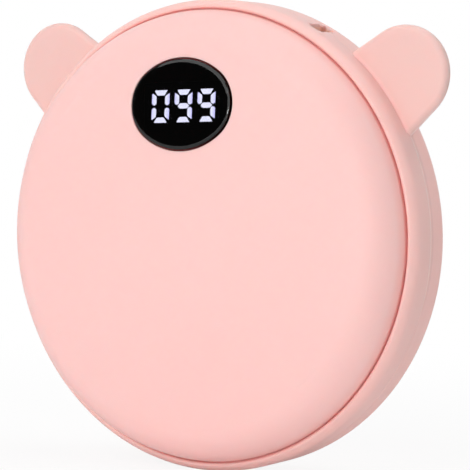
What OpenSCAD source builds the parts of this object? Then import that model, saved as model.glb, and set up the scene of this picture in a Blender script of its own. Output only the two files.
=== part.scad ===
// Round hand warmer with two ears. Two half shells meet on the middle plane and each
// carries a snap-in domed plate. The front plate has an oval window over a lit number
// display. Two pouch cells, two heating films and one board with a charging socket and
// a button switch lie inside.
// Local frame of the modules: x to the right, y up, z out of the front face.
// Angles round the rim are counted clockwise from the top, seen from the front.

/* [Body] */
// Radius of the side wall
body_r = 42.6; // [42:0.1:43.4]
// Room between the circuit board and the ledge behind it
board_room = 0.37; // [0.3:0.01:0.6]
// Thickness of the side wall
wall_t = 2; // [1.8:0.1:2.2]
// Width of the lip that frames each plate
lip_w = 1.6; // [1.4:0.1:1.8]
// Radius of the lip's outer rounding
lip_r = 3; // [2.2:0.1:3.6]
// Width of the ledge that carries a plate
ledge_w = 6.5; // [6:0.1:6.8]
// Thickness of the ledge
ledge_t = 1.4; // [1.2:0.1:1.6]
// Depth of the ledge below the lip
ledge_drop = 1.9; // [1.6:0.1:2.2]
// Chamfer along the line where the two shells meet
seam_c = 0.2; // [0.1:0.05:0.3]

/* [Plates] */
// Height of a plate's crown above the ring
dome_h = 7.1; // [6.6:0.1:7.6]
// Fall of the crown from its centre to the rolled edge
crown_fall = 1.5; // [1.2:0.1:1.8]
// Height of the straight part at a plate's foot
edge_h = 0.3; // [0.2:0.05:0.6]
// Thickness of a plate
plate_t = 1.6; // [1.4:0.1:1.8]
// Width of the groove between a plate and its lip
groove_w = 0.35; // [0.25:0.05:0.5]
// Radius of the flat that the rear plate rests on
rest_r = 15; // [10:1:20]
// Turn of the front plate about the axis, anticlockwise
face_turn = 2.8; // [0:0.1:4]
// Width of a plate's snap hook
hook_w = 5; // [4:0.5:5.5]

/* [Ears] */
// Angle of each ear from the top
ear_angle = 50.75; // [46:0.25:56]
// Radius of an ear's round end
ear_r = 8.5; // [8:0.1:9]
// Distance of an ear's centre from the side wall
ear_out = 4.6; // [4:0.1:5.2]
// Half width of an ear where it leaves the ring
ear_root_w = 9.5; // [9:0.1:10]
// Thickness of an ear
ear_t = 4; // [3.6:0.1:4.6]
// Rounding of an ear's edge
ear_edge = 1.5; // [1:0.1:1.7]

/* [Window] */
// Half width of the oval window
window_a = 10.6; // [10.2:0.1:11]
// Half height of the oval window
window_b = 8.35; // [8.1:0.05:8.8]
// Radius of the oval's ends as a share of its half height
window_end_share = 0.862; // [0.82:0.002:0.9]
// Distance of the window's centre from the plate's upper edge
window_in = 17; // [16.5:0.1:17.6]
// Depth of the lens below the plate's face
lens_seat = 1; // [0.9:0.05:1.1]
// Height of the lens above the plate's face
lens_proud = 0.3; // [0.2:0.05:0.4]
// Bevel round the lens
lens_bevel = 0.45; // [0.3:0.05:0.6]
// Number that the display shows
shown_count = 99; // [0:1:188]
// Width of one digit
digit_w = 3.7; // [3.5:0.05:3.8]
// Height of one digit
digit_h = 5.8; // [5.4:0.05:6.1]
// Distance between neighbouring digits
digit_pitch = 4.8; // [4.6:0.05:4.9]
// Width of a lit bar
bar_w = 0.9; // [0.8:0.02:1]
// Lean of the digits
digit_lean = 1.5; // [0:0.5:8]

/* [Strap slot] */
// Angle of the strap slot from the top
strap_angle = 27.4; // [26:0.1:28]
// Width of the slot along the rim
slot_w = 3.5; // [3.2:0.1:3.8]
// Length of the slot along the axis
slot_l = 5.8; // [5.4:0.1:6]
// Depth of the pocket behind the slot
slot_depth = 3.6; // [3.4:0.1:3.8]
// Radius of the steel pin across the slot
pin_r = 0.6; // [0.5:0.05:0.7]

/* [Button] */
// Angle of the button from the top
button_angle = 212; // [210:1:214]
// Length of the button's cap
cap_w = 9; // [8:0.1:9.6]
// Width of the button's cap
cap_h = 4; // [3.6:0.1:4.2]
// Height of the cap above the rim
cap_proud = 0.6; // [0.5:0.1:0.9]
// Travel of the button
travel = 0.3; // [0.2:0.05:0.35]

/* [Charging socket] */
// Width of the socket's metal shell
port_w = 8.94; // [8.8:0.02:9.1]
// Height of the socket's metal shell
port_h = 3.26; // [3.1:0.02:3.4]
// Length of the socket
port_l = 7.3; // [7:0.1:7.6]
// Thickness of the socket's metal
port_t = 0.3; // [0.25:0.05:0.35]

/* [Inside] */
// Thickness of a foam pad at the centre
foam_t = 3.5; // [3.2:0.1:4]
// Gap between the cells and what lies above and below them
cell_gap = 1.1; // [1:0.1:1.6]
// Distance of a heating film's edge from the hooks
film_in = 1.5; // [1.4:0.1:2]
// Thickness of the circuit board
board_t = 1.2; // [1:0.1:1.3]
// Distance of the board's curved edge from the wall
board_in = 2.2; // [2:0.1:2.6]
// Radius of the case screws
screw_r = 1; // [0.9:0.05:1.1]

/* [Hidden] */
$fn = 96;
fine_fn = 1440;
wire_fn = 24;

pink = [0.97, 0.79, 0.77];
overrun = 1;
fit_gap = 0.1;
run_gap = 0.15;
half_d = port_h / 2 + board_t + board_room + ledge_t + ledge_drop;
ring_d = 2 * half_d;
inner_r = body_r - wall_t;
lip_in_r = body_r - lip_w;
ledge_r = lip_in_r - ledge_w;
ledge_z = half_d - ledge_drop;
ledge_foot = ledge_z - ledge_t;

// Tongue of the rear shell that locates the front shell
tongue_w = 0.9;
tongue_h = 1;

// Plate outline: a crown arc that runs into a rolled edge
tape_t = 0.2;
plate_r = lip_in_r - groove_w;
plate_foot = ledge_z + tape_t;
roll_r = half_d + dome_h - crown_fall - plate_foot - edge_h;
roll_c = plate_r - roll_r;
roll_z = plate_foot + edge_h;
crown_r = roll_r + (roll_c * roll_c + crown_fall * crown_fall) / (2 * crown_fall);
rest_rise = crown_r - sqrt(crown_r * crown_r - rest_r * rest_r);
crown_z = half_d + dome_h - crown_r;

// Snap hooks of the plates
hook_t = 1.4;
hook_r = ledge_r - fit_gap;
barb_w = 0.7;
barb_h = 1.1;
hook_angles = [45, 135, 225, 315];

// Bosses and screws that join the shells
boss_wall = 1.4;
boss_r = screw_r + boss_wall;
boss_in = 3.7;
boss_c = inner_r - boss_in;
boss_angles = [0, 68, 116, 244, 292];
head_rim = 0.8;
head_r = screw_r + head_rim;
head_h = 1.2;
bore_r = screw_r + fit_gap / 2;
sink_z = ledge_foot + 2 * fit_gap;
screw_l = sink_z + ledge_foot - ledge_t / 2;

// Strap slot
slot_round = 0.9;
pocket_t = 1;
pin_depth = 1.5;
pin_socket = 0.8;

// Ears
ear_dist = body_r + ear_out;

// Button and its switch
flange_t = 1;
flange_grow = 1.2;
flange_grow_h = 0.7;
cap_bevel = 0.4;
flange_back = wall_t + run_gap + flange_t;
switch_w = 6;
switch_l = 3.8;
switch_h = 3.5;
plunger_w = 2.6;
plunger_h = 1.2;
plunger_seat = 1.2;
plunger_out = 2;
switch_front = body_r - flange_back - plunger_out;

// Charging socket
port_recess = 0.5;
tongue_thick = 0.7;
tongue_set = 1.05;
tongue_side = 0.825;
base_len = 1.8;
tongue_len = port_l - base_len - tongue_set;
tongue_wide = port_w - 2 * (port_t + tongue_side);
contact_n = 12;
contact_side = 0.47;
contact_w = 0.25;
contact_pitch = (tongue_wide - 2 * contact_side - contact_w) / (contact_n - 1);
contact_set = 0.85;
contact_l = tongue_len - contact_set;
contact_t = 0.08;

// Circuit board and what stands on it
part_l = 5;
part_edge = 1.6;
part_gap = 0.7;
board_top = -port_h / 2;
board_foot = board_top - board_t;
board_r = inner_r - board_in;
board_edge = body_r - port_recess - port_l - part_gap - part_l - part_edge;
board_screw_angle = 19;
board_screw_in = 2.4;
board_screw_c = board_r - board_screw_in;
board_screw_r = 0.8;
board_screw_l = 4;
board_head_r = 1.5;
board_head_h = 1;
board_boss_r = 2.2;
board_boss_d = 3.2;
coil_x = 3;
coil_h = 2.8;
coil_core_r = 2;
lead_edge = 0.7;
chip_x = [8, -3.5, -8];
chip_share = [0.68, 1, 0.6];
chip_h = [0.9, 1, 0.8];
plug_w = 5;
plug_l = 2.4;
plug_h = 3.6;
plug_side = 1;
plug_y = board_edge + part_edge + plug_l;
plug_x = sqrt(board_r * board_r - plug_y * plug_y) - plug_side - plug_w / 2;

// Display module, with the driver's socket on its back
window_y = plate_r - window_in;
window_tilt = asin(window_y / crown_r);
window_end_r = window_b * window_end_share;
end_c = window_a - window_end_r;
flank_r = (end_c * end_c / (window_b - window_end_r) + window_end_r + window_b) / 2;
flank_c = flank_r - window_b;
end_swell = 0.08;
end_r = window_end_r + end_swell;
display_x = 0.24;
display_y = -0.26;
display_side = 1.55;
display_rim = 1.3;
display_w = 2 * digit_pitch + digit_w + 2 * display_side;
display_h = digit_h + 2 * display_rim;
display_t = 3;
glass_gap = 0.05;
bar_depth = 0.8;
bar_gap = 0.16;
corner_cut = 0.45;
post_side = 2.2;
post_r = 1.6;
post_x = display_w / 2 + post_side;
carrier_rim = 2.1;
carrier_end = 1.8;
carrier_w = 2 * (post_x + carrier_end);
carrier_h = display_h + 2 * carrier_rim;
carrier_t = 1;
carrier_round = 1;
small_screw_r = 0.7;
small_screw_l = 3;
small_head_r = 1.3;
small_head_h = 0.8;
socket_w = 6;
socket_l = 2.4;
socket_h = 1.4;
socket_x = 6;
socket_y = -3;

// Cells, films and pads
film_t = 0.3;
tape_mid = 0.4;
terrace_h = 2.2;
terrace_lap = 0.5;
terrace_t = 3;
terrace_gap = 0.8;
cell_round = 1.6;
cell_t = half_d + dome_h - plate_t - film_t - foam_t - tape_mid / 2;
cell_foot = terrace_h - terrace_lap + terrace_gap - board_edge;
cell_top = window_y + display_y - carrier_h / 2 - cell_gap;
cell_h = cell_top - cell_foot;
cell_w = 2 * sqrt(pow(hook_r - hook_t, 2) - cell_foot * cell_foot);
cell_y = (cell_top + cell_foot) / 2;
film_r = hook_r - hook_t - film_in;
film_down = 0.8;
film_cut_y = window_y - window_b - film_down;
pad_in = 1;
wire_r = 0.5;

// Flat cable of the display
ribbon_t = 0.3;
ribbon_h = port_h - fit_gap;
ribbon_gap = 1.3;
ribbon_bend = 2.2;
ribbon_rise = 3;
ribbon_tail = 5;

// Bars of each number from 0 to 9: a is the top bar, then clockwise to f, g the middle
bar_table = ["abcdef", "bc", "abdeg", "abcdg", "bcfg", "acdfg", "acdefg", "abc",
    "abcdefg", "abcdfg"];
bar_names = "abcdefg";
shown = [floor(shown_count / 100) % 10, floor(shown_count / 10) % 10,
    shown_count % 10];

// Places

module upright() {
    rotate([90, 0, 0])
    children();
}

// Out of the rim at an angle from the top: z points outwards from the wall's face
module on_rim(angle) {
    rotate([0, 0, -angle])
    translate([0, body_r, 0])
    rotate([-90, 0, 0])
    children();
}

// On a circle round the axis, at an angle from the top
module on_circle(radius, angle) {
    rotate([0, 0, -angle])
    translate([0, radius, 0])
    children();
}

// On the front plate's face at the centre of the window, z along the face's normal
module at_window() {
    rotate([0, 0, face_turn])
    translate([0, 0, crown_z])
    rotate([-window_tilt, 0, 0])
    translate([0, 0, crown_r])
    children();
}

module front_half() {
    intersection() {
        children();
        translate([-2 * body_r, -2 * body_r, 0])
        cube([4 * body_r, 4 * body_r, 2 * body_r]);
    }
}

// Flat outlines

module stadium(w, h) {
    square([w - h, h], center = true);
    for (side = [-1, 1])
        translate([side * (w - h) / 2, 0])
        circle(d = h);
}

module rounded_box(w, h, r) {
    square([w - 2 * r, h], center = true);
    square([w, h - 2 * r], center = true);
    for (sx = [-1, 1])
        for (sy = [-1, 1])
            translate([sx * (w / 2 - r), sy * (h / 2 - r)])
            circle(r = r);
}

// Oval block of four arcs, larger by grow all round and smaller by taper at its top
module oval(h, grow = 0, taper = 0) {
    reach = window_b + overrun;
    wide = end_c * (flank_c + reach) / flank_c;
    intersection() {
        oval_flank(1, h, grow, taper);
        oval_flank(-1, h, grow, taper);
        linear_extrude(h)
        polygon([[end_c, 0], [wide, reach], [-wide, reach], [-end_c, 0], [-wide, -reach],
            [wide, -reach]]);
    }
    for (side = [-1, 1])
        translate([side * (end_c - end_swell), 0, 0])
        cylinder(r1 = end_r + grow, r2 = end_r + grow - taper, h = h);
}

module oval_flank(side, h, grow, taper) {
    translate([0, side * flank_c, 0])
    cylinder(r1 = flank_r + grow, r2 = flank_r + grow - taper, h = h);
}

// Stadium block that is smaller by taper at its top
module tapered_stadium(w, h, depth, taper) {
    for (side = [-1, 1])
        translate([side * (w - h) / 2, 0, 0])
        cylinder(d1 = h, d2 = h - 2 * taper, h = depth);
    translate([(h - w) / 2, 0, 0])
    rotate([90, 0, 90])
    linear_extrude(w - h)
    polygon([[-h / 2, 0], [h / 2, 0], [h / 2 - taper, depth], [taper - h / 2, depth]]);
}

// Half section of the space under a plate's face, set in by inset
module dome_area(inset, rise, foot) {
    meet_r = roll_c * (crown_r - inset) / (crown_r - roll_r);
    intersection() {
        translate([0, crown_z + rise])
        circle(r = crown_r - inset, $fn = fine_fn);
        translate([0, foot])
        square([meet_r, half_d + dome_h + rise + overrun - foot]);
    }
    intersection() {
        translate([roll_c, roll_z + rise])
        circle(r = roll_r - inset);
        translate([meet_r, roll_z + rise])
        square([roll_r, roll_r]);
    }
    translate([0, foot])
    square([plate_r - inset, roll_z + rise - foot]);
}

// Half section of one shell's ring, from the middle plane to the lip
module ring_area() {
    difference() {
        union() {
            square([body_r, half_d - lip_r]);
            square([body_r - lip_r, half_d]);
            translate([body_r - lip_r, half_d - lip_r])
            circle(r = lip_r);
        }
        translate([0, ledge_z])
        square([lip_in_r, half_d]);
        translate([0, -body_r])
        square([inner_r, body_r + ledge_foot]);
        translate([0, -body_r])
        square([2 * body_r, body_r]);
        translate([0, -body_r])
        square([ledge_r, 2 * body_r]);
        polygon([[body_r - seam_c, 0], [body_r + seam_c, 0], [body_r + seam_c, 2 * seam_c]]);
    }
}

// Ears

// Half section of an ear's rounded edge
module ear_edge_area() {
    half_t = ear_t / 2;
    square([ear_r - ear_edge, half_t]);
    square([ear_r, half_t - ear_edge]);
    intersection() {
        translate([ear_r - ear_edge, half_t - ear_edge])
        circle(r = ear_edge);
        square([ear_r, half_t]);
    }
}

// Front half of one ear that points up: a round end and two straight flanks
module ear_half() {
    root_y = inner_r - ear_edge;
    reach = ear_dist - root_y;
    span = sqrt(ear_root_w * ear_root_w + reach * reach);
    lean = 180 - atan2(reach, ear_root_w) - asin(ear_r / span);
    flank_l = sqrt(span * span - ear_r * ear_r);
    half_t = ear_t / 2;
    translate([0, ear_dist, 0])
    rotate_extrude()
    ear_edge_area();
    for (side = [0, 1])
        mirror([side, 0, 0])
        translate([ear_root_w, root_y, 0])
        rotate([0, 0, lean]) {
            cube([flank_l, ear_r, half_t - ear_edge]);
            translate([0, ear_edge, 0])
            cube([flank_l, ear_r - ear_edge, half_t]);
            intersection() {
                translate([0, ear_edge, half_t - ear_edge])
                rotate([0, 90, 0])
                cylinder(r = ear_edge, h = flank_l);
                cube([flank_l, ear_r, half_t]);
            }
        }
    translate([-ear_root_w / 2, root_y, 0])
    cube([ear_root_w, reach, half_t]);
}

module ears() {
    difference() {
        for (side = [-1, 1])
            rotate([0, 0, side * ear_angle])
            ear_half();
        translate([0, 0, -overrun])
        cylinder(r = body_r - wall_t / 2, h = ear_t + 2 * overrun);
    }
}

// Shells

// Hollow of the strap slot and its pocket, with the sockets of the pin
module strap_hollow() {
    on_rim(strap_angle) {
        translate([0, 0, -slot_depth])
        linear_extrude(slot_depth + overrun)
        rounded_box(slot_w, slot_l, slot_round);
        translate([0, 0, -pin_depth])
        rotate([90, 0, 0])
        cylinder(r = pin_r + fit_gap / 2, h = slot_l + 2 * pin_socket, center = true);
    }
}

module strap_pocket() {
    w = slot_w + 2 * pocket_t;
    l = slot_l + 2 * pocket_t;
    on_rim(strap_angle)
    translate([-w / 2, -l / 2, -slot_depth - pocket_t])
    cube([w, l, slot_depth + pocket_t - wall_t / 2]);
}

module rim_cuts() {
    strap_hollow();
    on_rim(180)
    translate([0, 0, -2 * wall_t])
    linear_extrude(2 * wall_t + overrun)
    stadium(port_w + 2 * run_gap, port_h + 2 * run_gap);
    on_rim(button_angle)
    translate([0, 0, -2 * wall_t])
    linear_extrude(2 * wall_t + overrun)
    stadium(cap_w + 2 * run_gap, cap_h + 2 * run_gap);
}

// Ring, ears and bosses of one shell, from the middle plane forwards
module half_shell() {
    rotate_extrude()
    ring_area();
    ears();
    front_half()
    strap_pocket();
    for (angle = boss_angles)
        on_circle(boss_c, angle)
        cylinder(r = boss_r, h = ledge_foot + ledge_t / 2);
}

module front_shell() {
    color(pink)
    upright()
    difference() {
        half_shell();
        rim_cuts();
        translate([0, 0, -overrun])
        difference() {
            cylinder(r = inner_r + tongue_w + fit_gap, h = tongue_h + fit_gap + overrun);
            cylinder(r = inner_r - fit_gap, h = tongue_h + fit_gap + overrun);
        }
        for (angle = boss_angles)
            on_circle(boss_c, angle)
            translate([0, 0, -overrun])
            cylinder(r = bore_r, h = ledge_foot + overrun);
    }
}

module rear_shell() {
    color(pink)
    upright()
    difference() {
        union() {
            mirror([0, 0, 1])
            half_shell();
            rotate_extrude()
            translate([inner_r, -ledge_t])
            square([tongue_w, ledge_t + tongue_h]);
            for (side = [-1, 1])
                on_circle(board_screw_c, 180 + side * board_screw_angle)
                translate([0, 0, board_foot - board_boss_d])
                cylinder(r = board_boss_r, h = board_boss_d);
        }
        rim_cuts();
        for (angle = boss_angles)
            on_circle(boss_c, angle) {
                translate([0, 0, -ledge_foot - overrun])
                cylinder(r = bore_r, h = ledge_foot + 2 * overrun);
                translate([0, 0, -ledge_z - overrun])
                cylinder(r = head_r + fit_gap, h = ledge_z + overrun - sink_z);
            }
        for (side = [-1, 1])
            on_circle(board_screw_c, 180 + side * board_screw_angle)
            translate([0, 0, board_foot - board_boss_d + board_t / 2])
            cylinder(r = board_screw_r + fit_gap / 2, h = board_boss_d);
    }
}

// Plates

// Finger that snaps under the ledge, with its barb
module hook(top) {
    barb_top = ledge_foot - fit_gap;
    foot = barb_top - barb_h;
    translate([-hook_w / 2, 0, 0])
    rotate([90, 0, 90])
    linear_extrude(hook_w)
    polygon([[hook_r - hook_t, foot], [hook_r, foot], [hook_r + barb_w, barb_top - barb_h / 3],
        [hook_r + barb_w, barb_top], [hook_r, barb_top], [hook_r, top],
        [hook_r - hook_t, top]]);
}

module plain_plate(rise) {
    difference() {
        rotate_extrude()
        intersection() {
            dome_area(0, rise, plate_foot);
            square([plate_r, half_d + dome_h]);
        }
        rotate_extrude()
        dome_area(plate_t, rise, plate_foot - overrun);
    }
    intersection() {
        rotate_extrude()
        dome_area(plate_t / 2, rise, -overrun);
        for (angle = hook_angles)
            rotate([0, 0, -angle])
            hook(half_d + dome_h);
    }
}

module front_plate() {
    color(pink)
    upright()
    difference() {
        union() {
            rotate([0, 0, face_turn])
            plain_plate(0);
            at_window()
            for (side = [-1, 1])
                translate([side * post_x + display_x, display_y, -lens_seat - display_t])
                cylinder(r = post_r, h = lens_seat + display_t - plate_t / 2);
        }
        at_window() {
            translate([0, 0, -lens_seat])
            oval(lens_seat + overrun);
            translate([display_x, display_y, -plate_t - overrun])
            linear_extrude(plate_t + 2 * overrun)
            square([display_w + 2 * fit_gap, display_h + 2 * fit_gap], center = true);
            for (side = [-1, 1])
                translate([side * post_x + display_x, display_y,
                    -lens_seat - display_t - overrun])
                cylinder(r = small_screw_r + fit_gap / 2,
                    h = small_screw_l - carrier_t + fit_gap + overrun);
        }
    }
}

module rear_plate() {
    color(pink)
    upright()
    mirror([0, 0, 1])
    plain_plate(rest_rise);
}

// Ring of double-sided tape under a plate's foot
module plate_tape() {
    translate([0, 0, ledge_z])
    difference() {
        cylinder(r = plate_r, h = tape_t);
        translate([0, 0, -overrun])
        cylinder(r = plate_r - plate_t, h = tape_t + 2 * overrun);
    }
}

module front_plate_tape() {
    color("white")
    upright()
    plate_tape();
}

module rear_plate_tape() {
    color("white")
    upright()
    mirror([0, 0, 1])
    plate_tape();
}

// Window and display

module display_lens() {
    straight = lens_seat - glass_gap + lens_proud - lens_bevel;
    color([0.03, 0.03, 0.04])
    upright()
    at_window()
    translate([0, 0, -lens_seat + glass_gap]) {
        oval(straight, -glass_gap);
        translate([0, 0, straight])
        oval(lens_bevel, -glass_gap, lens_bevel);
    }
}

// Outline of one bar in a digit, mirrored by sx and sy
function top_bar(sy) = [for (p = [[digit_w / 2 - corner_cut, digit_h / 2],
    [digit_w / 2 - bar_w - bar_gap, digit_h / 2 - bar_w],
    [bar_w + bar_gap - digit_w / 2, digit_h / 2 - bar_w],
    [corner_cut - digit_w / 2, digit_h / 2]]) [p[0], sy * p[1]]];
function side_bar(sx, sy) = [for (p = [[digit_w / 2, digit_h / 2 - corner_cut],
    [digit_w / 2, bar_w / 2], [(digit_w - bar_w) / 2, bar_gap],
    [digit_w / 2 - bar_w, bar_w / 2],
    [digit_w / 2 - bar_w, digit_h / 2 - bar_w - bar_gap]]) [sx * p[0], sy * p[1]]];
function middle_bar() = [for (s = [-1, 1])
    each [[s * ((digit_w - bar_w) / 2 - bar_gap), 0],
        [s * (digit_w / 2 - bar_w - bar_gap), s * bar_w / 2],
        [-s * (digit_w / 2 - bar_w - bar_gap), s * bar_w / 2]]];
function bar_points(name) =
    name == "a" ? top_bar(1) :
    name == "b" ? side_bar(1, 1) :
    name == "c" ? side_bar(1, -1) :
    name == "d" ? top_bar(-1) :
    name == "e" ? side_bar(-1, -1) :
    name == "f" ? side_bar(-1, 1) : middle_bar();
function leaned(points) = [for (p = points) [p[0] + p[1] * tan(digit_lean), p[1]]];
function is_lit(value, name) = len(search(name, bar_table[value])) > 0;

// The bars of the three digits that are lit, or those that are dark
module bars(lit, height) {
    for (i = [0 : 2])
        for (name = bar_names)
            if (is_lit(shown[i], name) == lit)
                translate([(i - 1) * digit_pitch + display_x, display_y, 0])
                linear_extrude(height)
                polygon(leaned(bar_points(name)));
}

module display_body() {
    color([0.06, 0.06, 0.07])
    upright()
    at_window()
    translate([0, 0, -lens_seat - display_t])
    difference() {
        translate([display_x - display_w / 2, display_y - display_h / 2, 0])
        cube([display_w, display_h, display_t]);
        translate([0, 0, display_t - bar_depth]) {
            bars(true, bar_depth + overrun);
            bars(false, bar_depth + overrun);
        }
    }
}

module lit_bars() {
    color([0.9, 0.9, 1])
    upright()
    at_window()
    translate([0, 0, -lens_seat - bar_depth])
    bars(true, bar_depth);
}

module unlit_bars() {
    color([0.3, 0.3, 0.32])
    upright()
    at_window()
    translate([0, 0, -lens_seat - bar_depth])
    bars(false, bar_depth);
}

module display_board() {
    color("darkgreen")
    upright()
    at_window()
    translate([display_x, display_y, -lens_seat - display_t - carrier_t])
    linear_extrude(carrier_t)
    difference() {
        rounded_box(carrier_w, carrier_h, carrier_round);
        for (side = [-1, 1])
            translate([side * post_x, 0])
            circle(r = small_screw_r + fit_gap);
    }
}

module display_screws() {
    color("silver")
    upright()
    at_window()
    for (side = [-1, 1])
        translate([side * post_x + display_x, display_y,
            -lens_seat - display_t - carrier_t]) {
            cylinder(r = small_screw_r, h = small_screw_l);
            translate([0, 0, -small_head_h])
            cylinder(r = small_head_r, h = small_head_h);
        }
}

// Circuit board

module main_board() {
    color("darkgreen")
    upright()
    translate([0, 0, board_foot])
    linear_extrude(board_t)
    difference() {
        circle(r = board_r);
        translate([-body_r, -board_edge])
        square([2 * body_r, 2 * body_r]);
        for (side = [-1, 1])
            rotate([0, 0, side * board_screw_angle])
            translate([0, -board_screw_c])
            circle(r = board_screw_r + fit_gap);
    }
}

module board_screws() {
    color("silver")
    upright()
    for (side = [-1, 1])
        on_circle(board_screw_c, 180 + side * board_screw_angle) {
            translate([0, 0, board_top])
            cylinder(r = board_head_r, h = board_head_h);
            translate([0, 0, board_top - board_screw_l + board_t / 2])
            cylinder(r = board_screw_r, h = board_screw_l);
        }
}

module usb_shell() {
    color("silver")
    upright()
    on_rim(180)
    translate([0, 0, -port_recess - port_l])
    linear_extrude(port_l)
    difference() {
        stadium(port_w, port_h);
        stadium(port_w - 2 * port_t, port_h - 2 * port_t);
    }
}

module usb_tongue() {
    color([0.1, 0.1, 0.1])
    upright()
    on_rim(180)
    translate([0, 0, -port_recess - port_l]) {
        linear_extrude(base_len)
        stadium(port_w - 2 * port_t, port_h - 2 * port_t);
        translate([-tongue_wide / 2, -tongue_thick / 2, base_len])
        cube([tongue_wide, tongue_thick, tongue_len]);
    }
}

module usb_contacts() {
    color("gold")
    upright()
    on_rim(180)
    for (side = [0, 1])
        for (i = [0 : contact_n - 1])
            mirror([0, side, 0])
            translate([(i - (contact_n - 1) / 2) * contact_pitch - contact_w / 2,
                tongue_thick / 2, -port_recess - port_l + base_len])
            cube([contact_w, contact_t, contact_l]);
}

// A block on the board, with its upper edge a set distance from the board's edge
module on_board(x, w, l, h) {
    translate([x - w / 2, -board_edge - part_edge - l, board_top])
    cube([w, l, h]);
}

module charge_coil() {
    color([0.25, 0.25, 0.27])
    upright() {
        on_board(coil_x, part_l, part_l, coil_h - coil_core_r / 2);
        translate([coil_x, -board_edge - part_edge - part_l / 2, board_top])
        cylinder(r = coil_core_r, h = coil_h);
    }
}

module control_chips() {
    color([0.12, 0.12, 0.13])
    upright()
    for (i = [0 : len(chip_x) - 1])
        on_board(chip_x[i], part_l * chip_share[i], part_l * chip_share[i], chip_h[i]);
}

module board_connector() {
    color("ivory")
    upright()
    on_board(plug_x, plug_w, plug_l, plug_h);
}

module switch_body() {
    color([0.15, 0.15, 0.16])
    upright()
    on_rim(button_angle)
    translate([0, 0, switch_front - body_r - switch_l])
    difference() {
        translate([-switch_w / 2, -board_top - switch_h, 0])
        cube([switch_w, switch_h, switch_l]);
        translate([-plunger_w / 2 - fit_gap, -plunger_h / 2 - fit_gap, switch_l - plunger_seat])
        cube([plunger_w + 2 * fit_gap, plunger_h + 2 * fit_gap, plunger_seat + overrun]);
    }
}

module switch_plunger() {
    start = switch_front - body_r - plunger_seat + travel + fit_gap;
    color("ivory")
    upright()
    on_rim(button_angle)
    translate([-plunger_w / 2, -plunger_h / 2, start])
    cube([plunger_w, plunger_h, -flange_back - start]);
}

module power_button() {
    color(pink)
    upright()
    intersection() {
        on_rim(button_angle)
        translate([0, 0, -flange_back])
        union() {
            linear_extrude(flange_back + cap_proud - cap_bevel)
            stadium(cap_w, cap_h);
            translate([0, 0, flange_back + cap_proud - cap_bevel])
            tapered_stadium(cap_w, cap_h, cap_bevel, cap_bevel);
            intersection() {
                linear_extrude(2 * flange_t)
                stadium(cap_w + 2 * flange_grow, cap_h + 2 * flange_grow_h);
                translate([0, 0, flange_back - body_r])
                rotate([90, 0, 0])
                cylinder(r = inner_r - run_gap, h = ring_d, center = true);
            }
        }
        translate([0, 0, -half_d])
        cylinder(r = body_r + cap_proud, h = ring_d);
    }
}

// Cells, pads and films

module pouch(z) {
    translate([0, cell_y, z])
    linear_extrude(cell_t)
    rounded_box(cell_w, cell_h, cell_round);
    translate([-cell_w / 2 + cell_round, cell_foot - terrace_h + terrace_lap,
        z + (cell_t - terrace_t) / 2])
    cube([cell_w - 2 * cell_round, terrace_h, terrace_t]);
}

module front_cell() {
    color("silver")
    upright()
    pouch(tape_mid / 2);
}

module rear_cell() {
    color("silver")
    upright()
    mirror([0, 0, 1])
    pouch(tape_mid / 2);
}

module cell_tape() {
    color([0.2, 0.2, 0.2])
    upright()
    translate([0, cell_y, -tape_mid / 2])
    linear_extrude(tape_mid)
    square([cell_w - 4 * cell_round, cell_h - 4 * cell_round], center = true);
}

module film(rise, cut_y) {
    difference() {
        rotate_extrude()
        intersection() {
            dome_area(plate_t, rise, ledge_z);
            square([film_r, half_d + dome_h]);
        }
        rotate_extrude()
        dome_area(plate_t + film_t, rise, ledge_z - overrun);
        translate([-body_r, cut_y, 0])
        cube([2 * body_r, body_r, body_r]);
    }
}

module front_heater() {
    color([0.85, 0.5, 0.15])
    upright()
    film(0, film_cut_y);
}

module rear_heater() {
    color([0.85, 0.5, 0.15])
    upright()
    mirror([0, 0, 1])
    film(rest_rise, body_r);
}

module pad(rise) {
    intersection() {
        rotate_extrude()
        dome_area(plate_t + film_t, rise, ledge_z);
        translate([pad_in - cell_w / 2, cell_foot + pad_in, tape_mid / 2 + cell_t])
        cube([cell_w - 2 * pad_in, film_cut_y - cell_foot - 2 * pad_in, body_r]);
    }
}

module front_foam() {
    color([0.9, 0.9, 0.88])
    upright()
    pad(0);
}

module rear_foam() {
    color([0.9, 0.9, 0.88])
    upright()
    mirror([0, 0, 1])
    pad(rest_rise);
}

// Wires

module wire(points, radius) {
    for (i = [0 : len(points) - 2]) {
        run = points[i + 1] - points[i];
        translate(points[i])
        rotate([0, acos(run[2] / norm(run)), atan2(run[1], run[0])])
        cylinder(r = radius, h = norm(run), $fn = wire_fn);
        if (i > 0)
            translate(points[i])
            sphere(r = radius, $fn = wire_fn);
    }
}

lead_x = [7, 9.4];
lead_out = cell_foot - terrace_h + terrace_lap;
lead_z = (tape_mid + cell_t) / 2;
lead_y = -board_edge - lead_edge;

// Two wires from each cell down or up to the board
module cell_leads() {
    color("red")
    upright()
    for (x = lead_x)
        for (side = [-1, 1]) {
            end_z = side > 0 ? board_top : board_foot;
            wire([[x * side, lead_out, side * lead_z], [x * side, lead_y, side * lead_z],
                [x * side, lead_y, end_z]], wire_r);
        }
}

heat_x = [-13, -11];

function under_face(r, rise) = crown_z + rise + sqrt(pow(crown_r - plate_t - film_t, 2) - r * r);

// Two wires from each heating film to the board
module heater_leads() {
    color([0.8, 0.3, 0.2])
    upright()
    for (x = heat_x) {
        r = norm([x, lead_y + wire_r]);
        wire([[x, lead_y, board_top], [x, lead_y, under_face(r, 0) - wire_r]], wire_r);
        wire([[x, lead_y, board_foot], [x, lead_y, wire_r - under_face(r, rest_rise)]], wire_r);
    }
}

sensor_x = 11.4;
sensor_r = 1;

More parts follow.
